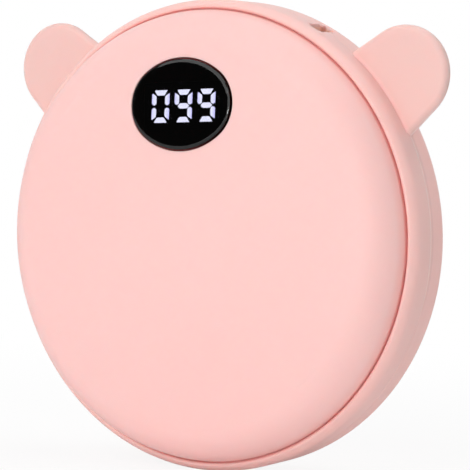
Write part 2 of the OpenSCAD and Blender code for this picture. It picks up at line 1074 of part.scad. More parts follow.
// Sensor bead under the front film, with its leads to the board
module heat_sensor() {
    color([0.15, 0.15, 0.4])
    upright() {
        top = under_face(norm([sensor_x, lead_y]), 0) - sensor_r;
        translate([sensor_x, lead_y, top])
        sphere(r = sensor_r);
        wire([[sensor_x, lead_y, board_top], [sensor_x, lead_y, top]], wire_r);
    }
}

// Flat cable on edge beside the cells, with a tail that rises to the display
module strip(points, width) {
    for (i = [0 : len(points) - 2]) {
        run = points[i + 1] - points[i];
        translate(points[i])
        rotate([0, 0, atan2(run[1], run[0])])
        translate([0, -width / 2])
        square([norm(run), width]);
        translate(points[i])
        circle(d = width);
    }
}

module display_ribbon() {
    side_x = cell_w / 2 + ribbon_gap;
    top_y = cell_top + ribbon_rise;
    tail_top = crown_z + sqrt(pow(crown_r - lens_seat - display_t - carrier_t - socket_h, 2)
        - pow(top_y, 2));
    end_x = socket_x - socket_w / 2;
    color([0.8, 0.6, 0.3])
    upright()
    translate([0, 0, -ribbon_h / 2]) {
        linear_extrude(ribbon_h)
        strip([[plug_x, ribbon_t / 2 - board_edge - part_edge],
            [side_x, cell_foot - ribbon_gap], [side_x, top_y - ribbon_bend],
            [side_x - ribbon_bend, top_y], [end_x, top_y]], ribbon_t);
        translate([end_x, top_y - ribbon_t / 2, 0])
        cube([ribbon_tail, ribbon_t, tail_top + ribbon_h / 2]);
    }
}

module display_connector() {
    color("ivory")
    upright()
    at_window()
    translate([socket_x - socket_w / 2, socket_y - socket_l / 2,
        -lens_seat - display_t - carrier_t - socket_h])
    cube([socket_w, socket_l, socket_h]);
}

// Screws and pin

module case_screws() {
    color("silver")
    upright()
    for (angle = boss_angles)
        on_circle(boss_c, angle) {
            translate([0, 0, -sink_z - head_h])
            cylinder(r = head_r, h = head_h);
            translate([0, 0, -sink_z])
            cylinder(r = screw_r, h = screw_l);
        }
}

module strap_pin() {
    color("silver")
    upright()
    on_rim(strap_angle)
    translate([0, 0, -pin_depth])
    rotate([90, 0, 0])
    cylinder(r = pin_r, h = slot_l + 2 * pin_socket - fit_gap, center = true);
}

front_shell();
rear_shell();
front_plate();
rear_plate();
front_plate_tape();
rear_plate_tape();
display_lens();
display_body();
lit_bars();
unlit_bars();
display_board();
display_screws();
main_board();
board_screws();
usb_shell();
usb_tongue();
usb_contacts();
charge_coil();
control_chips();
board_connector();
display_connector();
display_ribbon();
switch_body();
switch_plunger();
power_button();
front_cell();
rear_cell();
cell_tape();
front_heater();
rear_heater();
front_foam();
rear_foam();
cell_leads();
heater_leads();
heat_sensor();
case_screws();
strap_pin();
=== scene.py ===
import math
import bpy
import bmesh
from mathutils import Matrix, Vector
from mathutils.kdtree import KDTree


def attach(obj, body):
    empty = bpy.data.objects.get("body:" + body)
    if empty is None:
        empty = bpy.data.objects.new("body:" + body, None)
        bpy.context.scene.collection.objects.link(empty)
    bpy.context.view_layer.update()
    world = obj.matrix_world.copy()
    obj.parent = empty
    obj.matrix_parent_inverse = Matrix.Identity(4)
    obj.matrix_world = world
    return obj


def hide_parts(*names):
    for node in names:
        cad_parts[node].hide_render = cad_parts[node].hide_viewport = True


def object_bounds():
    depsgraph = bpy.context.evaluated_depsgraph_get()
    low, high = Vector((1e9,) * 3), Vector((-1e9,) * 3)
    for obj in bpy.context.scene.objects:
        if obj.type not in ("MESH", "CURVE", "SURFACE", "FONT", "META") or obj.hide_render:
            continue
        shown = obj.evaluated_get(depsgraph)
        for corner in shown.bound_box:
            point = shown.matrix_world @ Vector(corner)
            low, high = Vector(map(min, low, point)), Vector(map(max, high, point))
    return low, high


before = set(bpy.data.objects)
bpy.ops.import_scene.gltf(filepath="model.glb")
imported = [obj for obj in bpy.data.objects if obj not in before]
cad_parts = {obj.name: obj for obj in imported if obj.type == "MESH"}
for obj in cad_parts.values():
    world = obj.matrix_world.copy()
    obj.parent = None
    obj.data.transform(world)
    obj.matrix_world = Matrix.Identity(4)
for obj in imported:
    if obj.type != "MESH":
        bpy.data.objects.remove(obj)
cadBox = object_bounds()
print("frame loaded:", len(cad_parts), "nodes")

mm = 0.001
imageSize = 470

# camera, fitted to the rims of the photo
viewFrom = {
    "azimuth": 31.251,
    "elevation": 3.415,
    "roll": -1.445,
    "distance": 398.2 * mm,
    "aim": (0, -6.6 * mm, 0),
    "shift": (5.986 * mm, 0.246 * mm),
    "focalPixels": 2215.06,
    "sensorWidth": 36,
    "nearest": 0.01,
}


def addCamera():
    turn = math.radians(viewFrom["azimuth"])
    lift = math.radians(viewFrom["elevation"])
    roll = math.radians(viewFrom["roll"])
    level = math.cos(lift)
    back = Vector((math.sin(turn) * level, -math.cos(turn) * level, math.sin(lift)))
    side = Vector((math.cos(turn), math.sin(turn), 0))
    up = back.cross(side)
    right = math.cos(roll) * side - math.sin(roll) * up
    top = math.sin(roll) * side + math.cos(roll) * up
    shiftRight, shiftUp = viewFrom["shift"]
    spot = Vector(viewFrom["aim"]) + shiftRight * right + shiftUp * top
    spot += viewFrom["distance"] * back
    bpy.ops.object.camera_add(location=spot)
    camera = bpy.context.object
    camera.name = "photoCamera"
    camera.matrix_world = Matrix((right, top, back)).transposed().to_4x4()
    camera.matrix_world.translation = spot
    camera.data.sensor_width = viewFrom["sensorWidth"]
    camera.data.lens = viewFrom["focalPixels"] * viewFrom["sensorWidth"] / imageSize
    camera.data.clip_start = viewFrom["nearest"]
    bpy.context.scene.camera = camera


addCamera()
print("camera set")


# a socket, so that shader maths reads like sums
class Wire:
    def __init__(self, nodes, socket):
        self.nodes = nodes
        self.socket = socket

    def maths(self, operation, *values):
        return self.nodes.node("ShaderNodeMath", {"operation": operation}, values)

    def __add__(self, other):
        return self.maths("ADD", self, other)

    def __radd__(self, other):
        return self.maths("ADD", other, self)

    def __sub__(self, other):
        return self.maths("SUBTRACT", self, other)

    def __rsub__(self, other):
        return self.maths("SUBTRACT", other, self)

    def __mul__(self, other):
        return self.maths("MULTIPLY", self, other)

    def __rmul__(self, other):
        return self.maths("MULTIPLY", other, self)

    def size(self):
        return self.maths("ABSOLUTE", self)

    def wave(self):
        return self.maths("SINE", self)

    # rises smoothly from 0 at low to 1 at high
    def between(self, low, high):
        smooth = {"interpolation_type": "SMOOTHSTEP"}
        values = {"Value": self, "From Min": low, "From Max": high}
        return self.nodes.node("ShaderNodeMapRange", smooth, values)

    # the same for a distance, with its ends in millimetres
    def past(self, low, high):
        return self.between(low * mm, high * mm)

    # rises from start to full and falls from fade to end, in millimetres
    def band(self, start, full, fade, end):
        return self.past(start, full) * (1 - self.past(fade, end))

    def blend(self, first, second):
        return self.nodes.mix(self, first, second)


# a node tree under construction
class Nodes:
    def __init__(self, tree):
        self.tree = tree

    def plug(self, socket, value):
        if isinstance(value, Wire):
            self.tree.links.new(value.socket, socket)
        elif isinstance(value, (tuple, list)) and len(value) == 3 and socket.type == "RGBA":
            socket.default_value = (*value, 1)
        else:
            socket.default_value = value

    def node(self, kind, settings=None, inputs=None, output=0):
        made = self.tree.nodes.new(kind)
        for key, value in (settings or {}).items():
            setattr(made, key, value)
        pairs = inputs.items() if isinstance(inputs, dict) else enumerate(inputs or [])
        for key, value in pairs:
            self.plug(made.inputs[key], value)
        return Wire(self, made.outputs[output])

    def ray(self, kind):
        return self.node("ShaderNodeLightPath", output=kind)

    def vector(self, operation, *values):
        return self.node("ShaderNodeVectorMath", {"operation": operation}, values, "Value")

    # colour sockets go by number, because others share their names
    def mix(self, share, first, second, way="MIX"):
        settings = {"data_type": "RGBA", "blend_type": way}
        return self.node("ShaderNodeMix", settings, {0: share, 6: first, 7: second}, 2)


# a piece's material under construction
class Finish(Nodes):
    sockets = {
        "colour": "Base Color",
        "rough": "Roughness",
        "metal": "Metallic",
        "normal": "Normal",
        "ior": "IOR",
        "gloss": "Specular IOR Level",
        "clear": "Transmission Weight",
        "sheen": "Sheen Weight",
        "sheenRough": "Sheen Roughness",
        "glow": "Emission Color",
        "glowPower": "Emission Strength",
        "under": "Subsurface Weight",
        "underScale": "Subsurface Scale",
        "underReach": "Subsurface Radius",
    }

    def __init__(self, name):
        self.material = bpy.data.materials.new(name)
        self.material.use_nodes = True
        super().__init__(self.material.node_tree)
        self.shader = self.tree.nodes["Principled BSDF"]

    def set(self, **values):
        for key, value in values.items():
            self.plug(self.shader.inputs[self.sockets[key]], value)

    def spot(self, scale=(1, 1, 1)):
        place = self.node("ShaderNodeTexCoord", output="Object")
        return self.node("ShaderNodeMapping", {}, {"Vector": place, "Scale": scale})

    def along(self, axis):
        return self.node("ShaderNodeSeparateXYZ", {}, [self.spot()], axis)

    def noise(self, scale, detail=2, spot=None, rough=0.5):
        place = spot or self.spot()
        values = {"Vector": place, "Scale": scale, "Detail": detail, "Roughness": rough}
        return self.node("ShaderNodeTexNoise", {}, values)

    # slow change over the surface, from 0 to 1
    def drift(self, scale):
        return self.noise(scale).between(0.3, 0.7)

    def cells(self, scale):
        return self.node("ShaderNodeTexVoronoi", {}, {"Vector": self.spot(), "Scale": scale})

    # waves along an axis, from -1 to 1, with pitch and start in millimetres
    def waves(self, axis, pitch, start=0, wander=0):
        turn = (self.along(axis) - start * mm) * (2 * math.pi / (pitch * mm))
        return (turn + wander).wave()

    # bump that stands up to deep millimetres high
    def relief(self, height, strength, deep):
        values = {"Height": height, "Strength": strength, "Distance": deep * mm}
        self.set(normal=self.node("ShaderNodeBump", {}, values))


# a colour given as it is seen, 0 to 255
def hue(red, green, blue):
    shares = [value / 255 for value in (red, green, blue)]
    return tuple(s / 12.92 if s <= 0.04045 else ((s + 0.055) / 1.055) ** 2.4 for s in shares)


# a colour times one share, or one each for red, green and blue
def shade(colour, *shares):
    shares = shares if len(shares) == 3 else shares * 3
    return tuple(min(1, part * share) for part, share in zip(colour, shares))


# studio: soft lamps, a white floor and a white sky
lamps = {
    "keyLamp": {"place": (-0.28, -0.74, 0.66), "size": 1.1, "watts": 5.25},
    "frontLamp": {"place": (0.3, -0.95, 0.14), "size": 0.9, "watts": 3.2},
    "lowLamp": {"place": (0.05, -0.95, 0.035), "size": 0.14, "watts": 1.25},
    "topLamp": {"place": (0.1, 0.1, 0.75), "size": 0.6, "watts": 1.8},
    "sideLamp": {"place": (0.75, 0.05, 0.1), "size": 0.5, "watts": 0.36},
}
studio = {
    "frontSky": 0.04,
    "backSky": 0.5,
    "skyFade": (-0.6, 0.3),
    "floorSize": 3,
    "floorColour": (0.94, 0.94, 0.94),
    "floorWhite": 0.88,
    "floorFade": (40, 220),
}


def addLamp(name, lamp):
    bpy.ops.object.light_add(type="AREA", location=lamp["place"])
    light = bpy.context.object
    light.name = name
    light.data.shape = "DISK"
    light.data.size = lamp["size"]
    light.data.energy = lamp["watts"]
    light.rotation_euler = (-Vector(lamp["place"])).to_track_quat("-Z", "Y").to_euler()


# white for the camera, else dim in front of the object and brighter behind it
def addSky():
    world = bpy.data.worlds.new("studioWorld")
    world.use_nodes = True
    bpy.context.scene.world = world
    sky = Nodes(world.node_tree)
    sky.tree.nodes.clear()
    seenRay = sky.ray("Is Camera Ray")
    mirrorRay = sky.ray("Is Glossy Ray") + sky.ray("Is Transmission Ray")
    heading = sky.node("ShaderNodeTexCoord", output="Generated")
    behind = sky.node("ShaderNodeSeparateXYZ", {}, [heading], "Y").between(*studio["skyFade"])
    fill = studio["frontSky"] + behind * (studio["backSky"] - studio["frontSky"])
    mirrorFill = mirrorRay * behind * (1 - studio["backSky"])
    power = seenRay + (1 - seenRay) * (fill + mirrorFill)
    white = sky.node("ShaderNodeBackground", {}, {"Color": (1, 1, 1), "Strength": power})
    skyOut = sky.tree.nodes.new("ShaderNodeOutputWorld")
    sky.plug(skyOut.inputs["Surface"], white)


# seen a little darker near the object, where the shadow lies
def addFloor():
    bpy.ops.mesh.primitive_plane_add(size=studio["floorSize"], location=(0, 0, cadBox[0][2]))
    floor = bpy.context.object
    floor.name = "studioFloor"
    finish = Finish("studioFloorWhite")
    matt = finish.node("ShaderNodeBsdfDiffuse", {}, {"Color": studio["floorColour"]})
    light = finish.node("ShaderNodeEmission", {}, {"Color": (1, 1, 1)})
    away = finish.vector("LENGTH", finish.spot()).past(*studio["floorFade"])
    lightShare = studio["floorWhite"] + away * (1 - studio["floorWhite"])
    seenLight = finish.ray("Is Camera Ray") * lightShare
    cover = finish.node("ShaderNodeMixShader", {}, [seenLight, matt, light])
    finish.plug(finish.tree.nodes["Material Output"].inputs["Surface"], cover)
    floor.data.materials.append(finish.material)


for lampName, lampValues in lamps.items():
    addLamp(lampName, lampValues)
bpy.context.scene.view_settings.view_transform = "Standard"
addSky()
addFloor()
print("studio ready")

# soft-touch coat over pink plastic, with its depths and radii in millimetres
softTouch = {
    "driftScale": 38,
    "driftShade": 0.985,
    "grainScale": 2600,
    "grainShare": 0.7,
    "speckScale": 1500,
    "speckEdge": (0.1, 0.5),
    "reliefStrength": 0.12,
    "reliefDeep": 0.04,
    "rough": 0.47,
    "grainRough": 0.1,
    "ior": 1.5,
    "sheenRough": 0.45,
    "under": 0.35,
    "underScale": 2.2,
    "underReach": (1.0, 0.4, 0.3),
    # painted shade: the groove between plate and lip is coloured deeper pink, for its shade and the
    # pink light bounced in it
    "groove": (40.6, 40.66, 40.9, 41.1),
    "grooveShadeColour": hue(250, 178, 172),
    # painted shade: the plate's rolled edge beside the groove is coloured warmer and deeper, for pink
    # light bounced off the lip
    "plateEdgeShadeBand": (39.9, 40.6, 40.66, 40.7),
    "plateEdgeShadeTint": (1, 0.9, 0.88),
}

# marks of the ring, in millimetres: heights from its middle, depths behind its seam
ringMarks = {
    "earRadius": (42.8, 43.6),
    "earHeight": (12, 16),
    "earShade": (0.92, 0.96, 0.955),
    "wallRadius": (42.0, 42.2),
    "wallHeight": (-14, -4, 22, 27),
    # painted highlight and painted shadow along the seam of the shells
    "seamHighlightDepth": (-0.4, -0.2, 0.1, 0.3),
    "seamHighlightTint": 1.2,
    "seamShadowDepth": (0.2, 0.4, 0.7, 1.0),
    "seamShadowTint": 0.93,
    "slotPlace": (18.9, 0, 36.5),
    "slotReach": (3.6, 4.2),
    "slotRadius": (41.9, 42.3),
    # painted light: the warmer, lighter colour of the strap slot's walls
    "slotBouncedLight": hue(255, 196, 172),
}


def markRing(finish, tone, colour, radius):
    # the ears are a touch deeper in tone than the rest of the ring
    up = finish.along("Z")
    onEar = radius.past(*ringMarks["earRadius"]) * up.past(*ringMarks["earHeight"])
    tone = onEar.blend(tone, shade(colour, *ringMarks["earShade"]))
    # painted highlight on the front shell's edge and painted shadow in the parting line just behind
    # it
    back = finish.along("Y")
    onWall = radius.past(*ringMarks["wallRadius"]) * up.band(*ringMarks["wallHeight"])
    seamHighlight = onWall * back.band(*ringMarks["seamHighlightDepth"])
    seamShadow = onWall * back.band(*ringMarks["seamShadowDepth"])
    tone = seamHighlight.blend(tone, shade(colour, ringMarks["seamHighlightTint"]))
    tone = seamShadow.blend(tone, shade(colour, ringMarks["seamShadowTint"]))
    # painted light: walls of the strap slot are coloured lighter and warmer, for light bounced inside
    # the slot
    slotPlace = tuple(value * mm for value in ringMarks["slotPlace"])
    toSlot = finish.vector("DISTANCE", finish.spot(), slotPlace)
    beside, outside = toSlot.past(*ringMarks["slotReach"]), radius.past(*ringMarks["slotRadius"])
    return ((1 - beside) * (1 - outside)).blend(tone, ringMarks["slotBouncedLight"])


# faint drift of tone, very fine grain, and painted shade: deeper pink in the groove and at the
# plate's rolled edge
def softPink(name, colour, groove=softTouch["grooveShadeColour"], gloss=0.5, sheen=0.04, ring=False):
    finish = Finish(name)
    drift = finish.drift(softTouch["driftScale"])
    grain = finish.noise(softTouch["grainScale"], detail=3)
    speck = finish.cells(softTouch["speckScale"]).between(*softTouch["speckEdge"])
    radius = finish.vector("LENGTH", finish.spot(scale=(1, 0, 1)))
    grooveShadeMask = radius.band(*softTouch["groove"])
    shadedPlateEdge = radius.band(*softTouch["plateEdgeShadeBand"])
    tone = drift.blend(shade(colour, softTouch["driftShade"]), colour)
    # painted shade on the plate's rolled edge
    tone = shadedPlateEdge.blend(tone, shade(colour, *softTouch["plateEdgeShadeTint"]))
    if ring:
        tone = markRing(finish, tone, colour, radius)
    height = grain * softTouch["grainShare"] + speck * (1 - softTouch["grainShare"])
    finish.set(colour=grooveShadeMask.blend(tone, groove))
    finish.set(rough=softTouch["rough"] + grain * softTouch["grainRough"])
    finish.relief(height, softTouch["reliefStrength"], softTouch["reliefDeep"])
    finish.set(ior=softTouch["ior"], gloss=gloss, sheen=sheen, sheenRough=softTouch["sheenRough"])
    finish.set(under=softTouch["under"], underScale=softTouch["underScale"] * mm)
    finish.set(underReach=softTouch["underReach"])
    return finish.material


def smokedLens():
    finish = Finish("smokedLens")
    smear = finish.noise(scale=160, detail=3)
    finish.set(colour=hue(58, 56, 60), clear=1.0, ior=1.49, rough=smear * 0.02)
    return finish.material


# the lit number, in millimetres: its finish and its bars both follow these sizes
digits = {
    "shown": "099",
    "lit": {"0": "abcdef", "9": "abcdfg"},
    "shift": (0.24, -0.26),
    "width": 3.7,
    "height": 5.8,
    "pitch": 4.8,
    "bar": 0.94,
    "gap": 0.17,
    "cut": 0.5,
    "lean": 1.5,
    "deep": 0.8,
    "rise": 0.02,
    "round": 0.22,
    "roundSteps": 4,
    "glowPower": 24.0,
    "glowLeft": hue(236, 244, 255),
    "glowRight": hue(210, 214, 255),
    "hazeShare": 0.93,
}


def litSegments():
    finish = Finish("litSegments")
    # the channels dim towards the right side of each digit
    side = finish.waves("X", digits["pitch"], start=digits["shift"][0]).between(0.0, 0.9)
    tint = side.blend(digits["glowLeft"], digits["glowRight"])
    cloud = finish.noise(scale=700, detail=3).between(0.2, 0.8)
    haze = cloud.blend(shade((1, 1, 1), digits["hazeShare"]), (1, 1, 1))
    finish.set(colour=hue(235, 235, 245), rough=0.5, glowPower=digits["glowPower"])
    finish.set(glow=finish.mix(1.0, tint, haze, way="MULTIPLY"))
    return finish.material


def moulded(name, colour, rough, grainScale=3000):
    finish = Finish(name)
    grain = finish.noise(grainScale, detail=3)
    tone = finish.drift(scale=300).blend(shade(colour, 0.85), colour)
    finish.set(colour=tone, rough=rough + grain * 0.12)
    finish.relief(grain, strength=0.2, deep=0.03)
    return finish.material


def metal(name, colour, rough, brush=(1, 1, 1)):
    finish = Finish(name)
    drawn = finish.noise(scale=1800, detail=4, spot=finish.spot(brush))
    tone = drawn.blend(shade(colour, 0.82), colour)
    finish.set(colour=tone, metal=1.0, rough=rough + drawn * 0.18)
    finish.relief(drawn, strength=0.15, deep=0.02)
    return finish.material


# solder mask over copper lines, with gold pads
def boardFinish():
    finish = Finish("circuitBoard")
    mask, overCopper, gold = hue(24, 92, 52), hue(48, 124, 74), hue(212, 172, 92)
    wander = finish.noise(scale=260, detail=1) * 7
    lines = finish.waves("X", pitch=0.8976, wander=wander).between(0.55, 0.75)
    pads = 1 - finish.cells(scale=520).between(0.1, 0.14)
    finish.set(colour=pads.blend(lines.blend(mask, overCopper), gold))
    finish.set(metal=pads, rough=0.26 + pads * 0.08)
    finish.relief(lines + pads, strength=0.3, deep=0.03)
    return finish.material


# aluminium laminate of a pouch cell, lightly creased
def pouchFinish():
    finish = Finish("cellPouch")
    crease = finish.noise(scale=90, detail=5, rough=0.6)
    weave = finish.noise(scale=2200)
    finish.set(colour=crease.blend(hue(176, 179, 184), hue(214, 216, 220)))
    finish.set(metal=0.85, rough=0.3 + weave * 0.14)
    finish.relief(crease + weave * 0.08, strength=0.35, deep=0.4)
    return finish.material


# polyimide film with the heating track in it
def heaterFinish():
    finish = Finish("heatingFilm")
    amber, copper = hue(206, 140, 52), hue(150, 84, 34)
    track = finish.waves("Z", pitch=2.4166).between(0.35, 0.55)
    margin = finish.along("X").size().past(24, 24.5)
    seen = track * (1 - margin)
    grain = finish.noise(scale=1500)
    finish.set(colour=seen.blend(amber, copper), metal=seen * 0.4, rough=0.3 + grain * 0.1)
    finish.relief(seen + grain * 0.05, strength=0.25, deep=0.04)
    return finish.material


# open cells of foam, for pads and for foam tape
def foamFinish(name, colour, cellScale):
    finish = Finish(name)
    cell = finish.cells(cellScale)
    mottle = finish.noise(cellScale * 0.2, detail=3)
    finish.set(colour=(cell * 0.7 + mottle * 0.3).blend(colour, shade(colour, 0.72)))
    finish.set(rough=0.85 + mottle * 0.1, gloss=0.25)
    finish.relief(cell, strength=0.6, deep=0.1)
    return finish.material


# flat cable: tinned lines under clear amber film
def ribbonFinish():
    finish = Finish("ribbonFilm")
    amber, tin = hue(206, 158, 84), hue(190, 186, 178)
    lines = finish.waves("Y", pitch=0.5236).between(-0.1, 0.1)
    grain = finish.noise(scale=1600)
    finish.set(colour=lines.blend(amber, tin), metal=lines * 0.6, rough=0.25 + grain * 0.12)
    finish.relief(lines, strength=0.3, deep=0.03)
    return finish.material


# where black leads and the heaters' leads begin across the object, in millimetres
leads = {"outerCell": (8.19, 8.21), "heater": (-10.6, -10.4), "outerHeater": (-12.01, -11.99)}


# silicone cover: red and black leads lie side by side
def wireFinish():
    finish = Finish("wireInsulation")
    red, black = hue(176, 34, 30), hue(36, 36, 38)
    across = finish.along("X")
    outerCell = across.size().past(*leads["outerCell"])
    heater = 1 - across.past(*leads["heater"])
    outerHeater = 1 - across.past(*leads["outerHeater"])
    outer = outerCell * (1 - heater) + heater * outerHeater
    skin = finish.noise(scale=2400)
    finish.set(colour=outer.blend(red, black), rough=0.42 + skin * 0.12, gloss=0.4)
    finish.relief(skin, strength=0.2, deep=0.03)
    return finish.material


# painted shadow: the window recess round the lens is coloured dark red
recessShadowColour = hue(150, 66, 62)
platePink = softPink("softTouchPlate", hue(254, 203, 199), gloss=0.32)
ringPink = softPink("softTouchRing", hue(250, 199, 193), sheen=0.08, ring=True)
buttonPink = softPink("softTouchButton", hue(250, 197, 190))
recessShadowPink = softPink("softTouchRecess", recessShadowColour, groove=recessShadowColour, gloss=0.32)
lensBlack = smokedLens()
litBars = litSegments()

# each finish with the nodes that wear it
wearers = (
    (ringPink, "front_shell", "rear_shell"),
    (platePink, "front_plate", "rear_plate"),
    (buttonPink, "power_button"),
    (lensBlack, "display_lens"),
    (litBars, "lit_bars"),
    (moulded("darkSegments", hue(40, 40, 44), 0.35), "unlit_bars"),
    (moulded("blackPlastic", hue(30, 30, 32), 0.42), "display_body", "switch_body"),
    (moulded("socketTongue", hue(26, 26, 28), 0.5, 2600), "usb_tongue"),
    (moulded("chipEpoxy", hue(38, 38, 42), 0.55, 4200), "control_chips"),
    (moulded("coilFerrite", hue(62, 60, 60), 0.6, 3600), "charge_coil"),
    (moulded("ivoryPlastic", hue(236, 230, 208), 0.45), "board_connector", "display_connector"),
    (moulded("plungerNylon", hue(232, 226, 206), 0.4, 2400), "switch_plunger"),
    (moulded("sealTape", hue(232, 231, 226), 0.6, 1500), "front_plate_tape", "rear_plate_tape"),
    (moulded("sensorBead", hue(48, 46, 74), 0.2, 1200), "heat_sensor"),
    (metal("steel", hue(196, 197, 200), 0.24),
     "strap_pin", "display_screws", "board_screws", "case_screws"),
    (metal("socketSteel", hue(214, 214, 212), 0.2, brush=(1, 0.2, 1)), "usb_shell"),
    (metal("goldContacts", hue(222, 178, 92), 0.18), "usb_contacts"),
    (foamFinish("foamTape", hue(64, 64, 66), 2600), "cell_tape"),
    (foamFinish("foamPad", hue(232, 232, 226), 1700), "front_foam", "rear_foam"),
    (boardFinish(), "display_board", "main_board"),
    (pouchFinish(), "front_cell", "rear_cell"),
    (heaterFinish(), "front_heater", "rear_heater"),
    (ribbonFinish(), "display_ribbon"),
    (wireFinish(), "cell_leads", "heater_leads"),
)


def assign(piece, material):
    piece.data.materials.clear()
    piece.data.materials.append(material)


for material, *nodeNames in wearers:
    for nodeName in nodeNames:
        assign(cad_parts[nodeName], material)
print("materials on the nodes")

# sizes of the ring in millimetres, with a finer lip, groove and seam than in the frame
body = {
    "radius": 42.6,
    "halfDepth": 6.5,
    "innerRadius": 40.6,
    "lipRadius": 40.92,
    "grooveFloor": 5.3,
    "grooveIn": 40.74,
    "lipRound": 2.6,
    "lipRoundSteps": 12,
    "lipEdge": 0.45,
    "lipEdgeSteps": 10,
    "ledgeRadius": 34.5,
    "ledgeTop": 4.6,
    "ledgeFoot": 3.2,
    "frontSeam": 0.2,
    "rearSeam": 0.36,
    "seamSteps": 4,
    "tongueWidth": 0.9,
    "tongueHeight": 1.0,
    "fitGap": 0.1,
    "aroundSteps": 256,
}
closeBy = 0.01  # a point this near to a plane lies on it
mergeGap = 0.001  # points nearer than this become one
fineGap = 0.0005  # the same once a piece is cut
over = 1  # how far a cutter stands out of what it cuts
farOff = 50  # outside the ring on every side


def turned(degrees, axis="Z"):
    return Matrix.Rotation(math.radians(degrees), 4, axis)


def moved(x=0, y=0, z=0):
    return Matrix.Translation((x, y, z))


# pieces are modelled face up, with y to the top, and then stood up
upright = turned(90, "X")
mirrored = Matrix.Scale(-1, 4, (0, 0, 1))
fromSection = turned(-90, "X")  # from the section's plane into the face's


# angles run clockwise from the top, as seen from the front
def onCircle(radius, angle):
    return turned(-angle) @ moved(y=radius)


# x along the ring, y through its depth, z outwards
def onRim(angle, out=0.0):
    return onCircle(body["radius"] + out, angle) @ turned(-90, "X")


def only(piece):
    if bpy.context.mode != "OBJECT":
        bpy.ops.object.mode_set(mode="OBJECT")
    bpy.ops.object.select_all(action="DESELECT")
    piece.select_set(True)
    bpy.context.view_layer.objects.active = piece


def edit(piece, mode="VERT"):
    only(piece)
    bpy.ops.object.mode_set(mode="EDIT")
    bpy.ops.mesh.select_mode(type=mode)
    bpy.ops.mesh.select_all(action="DESELECT")


# selects the points, edges or faces that the test names
def pick(piece, kind, test):
    edit(piece, {"verts": "VERT", "edges": "EDGE", "faces": "FACE"}[kind])
    mesh = bmesh.from_edit_mesh(piece.data)
    found = 0
    for part in getattr(mesh, kind):
        if test(part):
            part.select_set(True)
            found += 1
    bmesh.update_edit_mesh(piece.data)
    return found


def middle(part):
    return sum((v.co for v in part.verts), Vector()) / len(part.verts)


# shape is placed by a matrix that then goes into its mesh
def setDown(piece, matrix):
    only(piece)
    piece.matrix_world = matrix
    bpy.ops.object.transform_apply(location=True, rotation=True, scale=True)


# merges doubles and turns all faces outwards
def clean(piece, gap=mergeGap):
    edit(piece)
    bpy.ops.mesh.select_all(action="SELECT")
    bpy.ops.mesh.remove_doubles(threshold=gap)
    bpy.ops.mesh.normals_make_consistent(inside=False)
    if bmesh.from_edit_mesh(piece.data).calc_volume(signed=True) < 0:
        bpy.ops.mesh.flip_normals()
    only(piece)


def extrude(x=0, y=0, z=0):
    bpy.ops.mesh.extrude_region_move(TRANSFORM_OT_translate={"value": (x, y, z)})


def roundEdges(size, steps):
    bpy.ops.mesh.bevel(offset=size, segments=steps, affect="EDGES", clamp_overlap=False, profile=0.5)


# a point that draws lines and arcs in the plane of x and height
class Section:
    def __init__(self, name, x, height):
        bpy.ops.object.select_all(action="DESELECT")
        bpy.ops.mesh.primitive_plane_add(size=1)
        self.piece = bpy.context.object
        self.piece.name = name
        self.piece.data.name = name
        edit(self.piece)
        bpy.ops.mesh.select_all(action="SELECT")
        bpy.ops.mesh.merge(type="CENTER")
        self.at = Vector((x, 0, height))
        bpy.ops.transform.translate(value=self.at)

    def line(self, x, height):
        step = Vector((x, 0, height)) - self.at
        extrude(*step)
        self.at += step

    def arc(self, x, height, degrees, steps):
        centre = Vector((x, 0, height))
        angle = math.radians(degrees)
        bpy.ops.mesh.spin(steps=steps, angle=angle, center=centre, axis=(0, 1, 0))
        self.at = centre + Matrix.Rotation(-angle, 3, "Y") @ (self.at - centre)

    def around(self, steps):
        circle = math.radians(360)
        bpy.ops.mesh.select_all(action="SELECT")
        bpy.ops.mesh.spin(steps=steps, angle=circle, center=(0, 0, 0), axis=(0, 0, 1))
        clean(self.piece)
        return self.piece

    def fill(self):
        bpy.ops.mesh.select_all(action="SELECT")
        bpy.ops.mesh.remove_doubles(threshold=mergeGap)
        bpy.ops.mesh.edge_face_add()


# block with the given corners, drawn from one y to another
def prism(name, corners, low, high):
    section = Section(name, *corners[0])
    for corner in corners[1:] + corners[:1]:
        section.line(*corner)
    section.fill()
    bpy.ops.transform.translate(value=(0, low, 0))
    extrude(y=high - low)
    clean(section.piece)
    return section.piece


def join(pieces):
    only(pieces[0])
    for piece in pieces[1:]:
        piece.select_set(True)
    bpy.ops.object.join()
    return pieces[0]


def combine(piece, tool, operation):
    only(piece)
    cut = piece.modifiers.new("combine", "BOOLEAN")
    cut.operation = operation
    cut.solver = "EXACT"
    cut.object = tool
    bpy.ops.object.modifier_apply(modifier=cut.name)
    bpy.data.objects.remove(tool, do_unlink=True)


# rounds the sharp edges that the test names; grid points too near to them go first
def soften(piece, size, test, steps=3, sharpFrom=35, flatUpTo=20, clearance=1.9):
    def sharp(e):
        return e.calc_face_angle(0) > math.radians(sharpFrom) and test(e)

    count = pick(piece, "edges", sharp)
    mesh = bmesh.from_edit_mesh(piece.data)
    kept = {v.index for e in mesh.edges if e.select for v in e.verts}
    tree = KDTree(len(kept))
    mesh.verts.ensure_lookup_table()
    for index in kept:
        tree.insert(mesh.verts[index].co, index)
    tree.balance()
    reach = size * clearance
    near = [v.index for v in mesh.verts if v.index not in kept and tree.find(v.co)[2] < reach]
    edit(piece)
    mesh = bmesh.from_edit_mesh(piece.data)
    mesh.verts.ensure_lookup_table()
    for index in near:
        point = mesh.verts[index]
        if all(e.calc_face_angle(0) < math.radians(flatUpTo) for e in point.link_edges):
            point.select_set(True)
    bmesh.update_edit_mesh(piece.data)
    bpy.ops.mesh.dissolve_verts()
    pick(piece, "edges", sharp)
    roundEdges(size, steps)
    only(piece)
    return count


